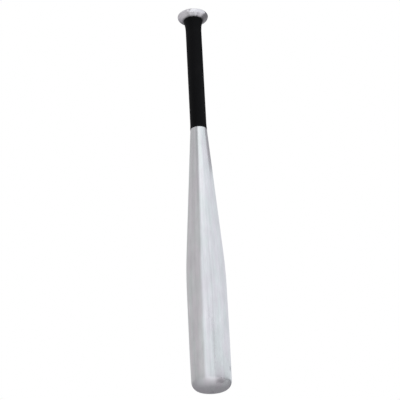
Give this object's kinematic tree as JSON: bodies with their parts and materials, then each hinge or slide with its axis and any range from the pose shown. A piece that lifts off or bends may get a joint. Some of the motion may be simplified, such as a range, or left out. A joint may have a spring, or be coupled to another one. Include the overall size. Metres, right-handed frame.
{
  "type": "baseball bat",
  "caption": "Youth baseball bat: a tapered hollow aluminium tube with a closed round barrel end, a disc knob and a black rubber grip sleeve.",
  "frame": {"origin": "on the bat's axis at the middle of the hand grip, 105 mm below the knob's end face", "axes": "+Z along the bat's axis towards the knob, so the bat hangs barrel down; +X and +Y are any two directions across it, since the bat is round"},
  "size_m": [0.0572, 0.0572, 0.6096],
  "materials": {
    "shell_aluminium": "satin",
    "knob_aluminium": "satin",
    "weld_metal": "matte",
    "grip_rubber": "matte",
    "plug_rubber": "matte",
    "grip_adhesive": "matte",
    "damper_foam": "matte"
  },
  "bodies": {
    "root": {"bat_shell": "shell_aluminium", "end_weld": "weld_metal", "knob": "knob_aluminium", "knob_weld": "weld_metal", "knob_plug": "plug_rubber", "grip_tape": "grip_adhesive", "grip_sleeve": "grip_rubber", "sound_damper": "damper_foam"}
  },
  "joints": []
}
